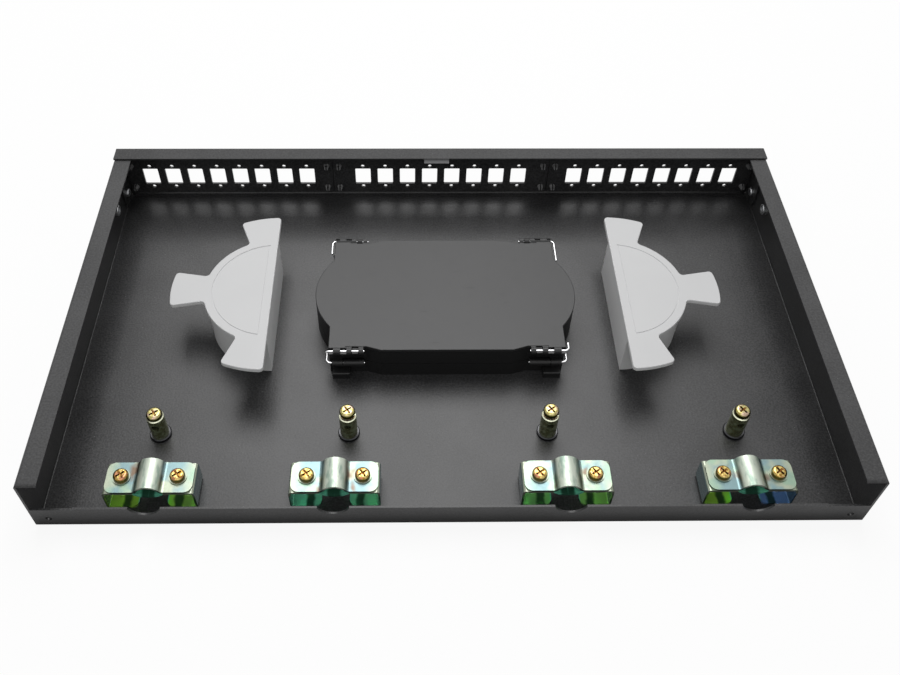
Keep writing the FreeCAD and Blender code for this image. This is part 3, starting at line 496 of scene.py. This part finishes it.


# The brackets of the clamps: bent from the same strip like a table, with feet riveted to the floor.
# They took the bath more deeply below, each in a shade of its own along the row, with painted dark
# reflections in bands across the feet. Their tops stay as pale as the straps, and their ends are bluish,
# partly tint and partly painted shade.
lime = (0.50, 0.95, 0.12, 1.0)
teal = (0.24, 0.88, 0.60, 1.0)
leaf = (0.34, 0.90, 0.28, 1.0)
violet = (0.22, 0.42, 0.85, 1.0)
row_w = 0.4
row_shades = ((0.12, lime), (0.30, teal), (0.62, leaf), (0.84, lime), (0.90, lime), (0.915, violet))
bracket_metal = 0.45
bracket_rough = (0.12, 0.24)
bracket_depth = 0.00004
blotch_size = 0.006
band_reflection_colour = (0.018, 0.06, 0.035, 1.0)
band_pitch = 0.012
band_sway = 0.003
band_share = 0.92
band_edges = (0.0, 0.8)
trough_half = (0.0085, 0.0075)
top_z = (0.0110, 0.0140)
end_facing = (0.5, 0.9)
finish, shader, paint, place = new_finish("bracket_zinc", {"Metallic": bracket_metal})
middle = from_clamp_middle(paint, place)
trough = middle.between(*trough_half)
blotch = paint.noise(place, blotch_size)
along_row = paint.axis(place, "X") / row_w + 0.5
shade = trough.mix(paint.node("ValToRGB", {"stops": row_shades}, {"Fac": along_row}), teal)
# Painted reflection: dark bands across the feet.
reflection_wave = paint.maths("SINE", (middle + band_sway * blotch) * (math.tau / band_pitch), 0.0)
colour = (band_share * reflection_wave.between(*band_edges)).mix(shade, band_reflection_colour)
top = paint.axis(place, "Z").between(*top_z) * (1.0 - trough)
colour = top.mix(colour, strap_pale)
# Painted shade: faces turned to the sides take a darker blue.
sideways = paint.facing("X")
colour = (sideways * sideways).between(*end_facing).mix(colour, zinc_blue_and_side_shade)
paint.feed(shader, {"Base Color": colour, "Roughness": blotch.fade(*bracket_rough),
                    "Normal": paint.bump(blotch, bracket_depth)})
dress(finish, *at_each_cable("clamp_base"))


# The table: a white sheet under the panel. It is white to the eye and less so in a mirror, least
# of all close to the panel, where a contact shadow is painted into its mirror image, and it lights the
# panel's sides only dimly.
table_size = 6.0
table_colour = (0.86, 0.86, 0.86, 1.0)
table_dim = (0.60, 0.60, 0.60, 1.0)
table_rough = 0.9
table_glow = 0.9
mirror_glow = 0.8
painted_shadow_reach = 0.014
white = (1.0, 1.0, 1.0, 1.0)

table_mesh = bpy.data.meshes.new("table")
half = table_size / 2
table_corners = [(-half, -half, 0), (half, -half, 0), (half, half, 0), (-half, half, 0)]
table_mesh.from_pydata(table_corners, [], [(0, 1, 2, 3)])
table = bpy.data.objects.new("table", table_mesh)
bpy.context.scene.collection.objects.link(table)
finish, shader, paint, place = new_finish("table_white",
                                          {"Roughness": table_rough, "Specular IOR Level": 0.0})


def seen_by_rays(paint, *kinds):
    """1 for the rays of those kinds: straight ones, mirrored ones, or those that pass through."""
    rays = paint.node("LightPath", {}, {}).socket.node.outputs
    seen = Paint(paint.tree, rays["Is %s Ray" % kinds[0]])
    for kind in kinds[1:]:
        seen = paint.maths("ADD", seen, Paint(paint.tree, rays["Is %s Ray" % kind]), True)
    return seen


straight = seen_by_rays(paint, "Camera")
paint.feed(shader, {"Base Color": straight.mix(table_dim, table_colour)})
past_sides = abs(paint.axis(place, "X")) - panel_w / 2
past_ends = abs(paint.axis(place, "Y")) - panel_d / 2
outside = paint.maths("MAXIMUM", past_sides, past_ends)
# Painted shadow: the table's mirror image fades out next to the panel.
mirrored = outside.between(0.0, painted_shadow_reach) * seen_by_rays(paint, "Glossy", "Transmission")
glowing = table_glow * straight + mirror_glow * mirrored
glow = paint.node("Emission", {}, {"Color": white, "Strength": 1.0})
lit = Paint(paint.tree, shader.outputs[0])
blend = paint.node("MixShader", {}, {0: glowing, 1: lit, 2: glow})
paint.feed(paint.tree.nodes["Material Output"], {"Surface": blend})
table_mesh.materials.append(finish)


# The studio: a large soft lamp above and behind the panel, and a weak one over the camera. The
# room is white where it is seen or mirrored and dim where it only lights.
key_place = (-0.02, 0.70, 1.34)
key_size = (1.0, 1.1)
key_power = 17.8
fill_place = (-0.2, -0.9, 1.4)
fill_size = (1.4, 1.0)
fill_power = 5.0
room_light = 0.31


def soft_lamp(name, place, size, power):
    lamp = bpy.data.objects.new(name, bpy.data.lights.new(name, "AREA"))
    lamp.data.shape = "RECTANGLE"
    lamp.data.size, lamp.data.size_y = size
    lamp.data.energy = power
    lamp.location = place
    lamp.rotation_euler = (-Vector(place)).to_track_quat("-Z", "Y").to_euler()
    bpy.context.scene.collection.objects.link(lamp)


soft_lamp("key_lamp", key_place, key_size, key_power)
soft_lamp("fill_lamp", fill_place, fill_size, fill_power)

room = bpy.data.worlds.new("room")
bpy.context.scene.world = room
room.use_nodes = True
paint = Paint(room.node_tree)
seen = seen_by_rays(paint, "Camera", "Glossy", "Transmission")
paint.feed(room.node_tree.nodes["Background"], {"Color": white, "Strength": seen.fade(room_light, 1.0)})

bpy.context.scene.view_settings.view_transform = "Standard"
